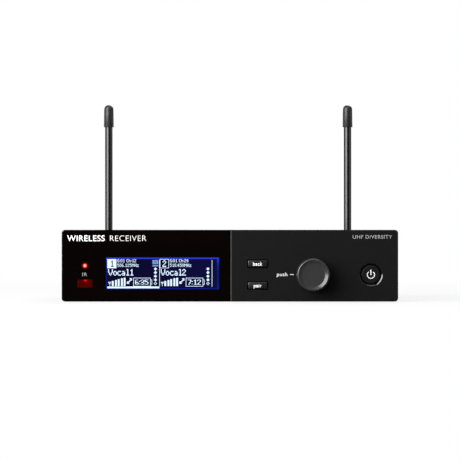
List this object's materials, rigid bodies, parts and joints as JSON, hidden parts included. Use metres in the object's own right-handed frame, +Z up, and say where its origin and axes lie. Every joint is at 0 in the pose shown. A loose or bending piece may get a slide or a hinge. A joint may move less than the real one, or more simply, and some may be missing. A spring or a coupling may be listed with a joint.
{
  "type": "wireless receiver unit",
  "caption": "Half-rack wireless microphone receiver with a backlit display, push keys, a push-turn knob and bayonet whip antennas that swing on the rear panel.",
  "frame": {"origin": "under the middle of the whole object's box, antennas and knob included, on the plane the rubber feet stand on", "axes": "+X to the right of someone facing the front panel, +Y from the front panel to the rear, +Z up"},
  "size_m": [0.197, 0.1706, 0.1223],
  "materials": {
    "bezel_plastic": "fine-grained satin",
    "clear_window": "clear, glossy",
    "black_mask": "printed black",
    "foam": "closed-cell foam",
    "display_glass": "clear, backlit blue",
    "white_plastic": "moulded",
    "black_plastic": "moulded",
    "black_gloss": "glossy",
    "red_light": "lit",
    "green_light": "clear, tinted",
    "infrared_filter": "dark red, glossy",
    "key_plastic": "satin",
    "knob_plastic": "satin, soft",
    "steel": "zinc-plated",
    "tin": "tinned",
    "dark_screw": "blackened",
    "nickel": "nickel-plated",
    "gold": "gold-plated",
    "socket_metal": "satin black",
    "case_paint": "fine textured black",
    "circuit_board": "solder resist",
    "ribbon": "flat cable",
    "foot_rubber": "matt",
    "antenna_plastic": "satin",
    "antenna_rubber": "satin"
  },
  "bodies": {
    "case": {"front_bezel": "bezel_plastic", "display_window": "clear_window", "display_mask": "black_mask", "lcd_gasket": "foam", "lcd_glass": "display_glass", "lcd_frame": "white_plastic", "status_led": "red_light", "ir_filter": "infrared_filter", "ir_transceiver": "black_gloss", "power_ring": "black_gloss", "key_switches": "black_plastic", "encoder_body": "steel", "encoder_nut": "nickel", "front_board": "circuit_board", "bezel_screws": "steel", "ribbon_cable": "ribbon", "ribbon_sockets": "black_plastic", "chassis_tray": "case_paint", "top_cover": "case_paint", "cover_screws": "dark_screw", "rack_ear_nuts": "steel", "rubber_feet": "foot_rubber", "main_board": "circuit_board", "board_standoffs": "steel", "main_board_screws": "steel", "radio_shield_cans": "tin", "board_components": "black_plastic", "xlr_shells": "socket_metal", "xlr_pins": "gold", "xlr_screws": "dark_screw", "jack_sockets": "black_plastic", "jack_nuts": "nickel", "network_socket": "nickel", "network_lights": "green_light", "network_contacts": "gold", "power_socket": "black_plastic", "power_socket_pin": "nickel", "antenna_sockets": "nickel", "antenna_socket_cores": "white_plastic", "antenna_socket_nuts": "nickel"},
    "back_button": {"back_key": "key_plastic", "back_plunger": "white_plastic"},
    "pair_button": {"pair_key": "key_plastic", "pair_plunger": "white_plastic"},
    "power_button": {"power_key": "key_plastic", "power_plunger": "white_plastic"},
    "knob_turn": {"encoder_rotor": "white_plastic"},
    "knob_push": {"control_knob": "knob_plastic", "encoder_shaft": "steel"},
    "coupling_left": {"bayonet_ring_left": "nickel"},
    "antenna_left": {"antenna_plug_left": "nickel", "antenna_elbow_left": "antenna_plastic", "antenna_whip_left": "antenna_rubber", "antenna_tip_left": "antenna_plastic"},
    "coupling_right": {"bayonet_ring_right": "nickel"},
    "antenna_right": {"antenna_plug_right": "nickel", "antenna_elbow_right": "antenna_plastic", "antenna_whip_right": "antenna_rubber", "antenna_tip_right": "antenna_plastic"}
  },
  "joints": [
    {"name": "back_press", "type": "slide", "parent": "case", "child": "back_button", "axis": [0, 1, 0], "range_m": [0, 0.0005], "stiffness_N_per_m": 2000},
    {"name": "pair_press", "type": "slide", "parent": "case", "child": "pair_button", "axis": [0, 1, 0], "range_m": [0, 0.0005], "stiffness_N_per_m": 2000},
    {"name": "power_press", "type": "slide", "parent": "case", "child": "power_button", "axis": [0, 1, 0], "range_m": [0, 0.0008], "stiffness_N_per_m": 900},
    {"name": "knob_turns", "type": "hinge", "parent": "case", "child": "knob_turn", "pos_m": [0.0484, -0.07235, 0.0162], "axis": [0, 1, 0], "continuous": true},
    {"name": "knob_press", "type": "slide", "parent": "knob_turn", "child": "knob_push", "axis": [0, 1, 0], "range_m": [0, 0.0006], "stiffness_N_per_m": 3000},
    {"name": "coupling_unlock_left", "type": "hinge", "parent": "case", "child": "coupling_left", "pos_m": [-0.0765, 0.06665, 0.0214], "axis": [0, 1, 0], "range_deg": [0, 90]},
    {"name": "antenna_swing_left", "type": "hinge", "parent": "case", "child": "antenna_left", "pos_m": [-0.0765, 0.06665, 0.0214], "axis": [0, 1, 0], "range_deg": [-90, 45]},
    {"name": "coupling_unlock_right", "type": "hinge", "parent": "case", "child": "coupling_right", "pos_m": [0.0765, 0.06665, 0.0214], "axis": [0, 1, 0], "range_deg": [0, 90]},
    {"name": "antenna_swing_right", "type": "hinge", "parent": "case", "child": "antenna_right", "pos_m": [0.0765, 0.06665, 0.0214], "axis": [0, 1, 0], "range_deg": [-45, 90]}
  ]
}
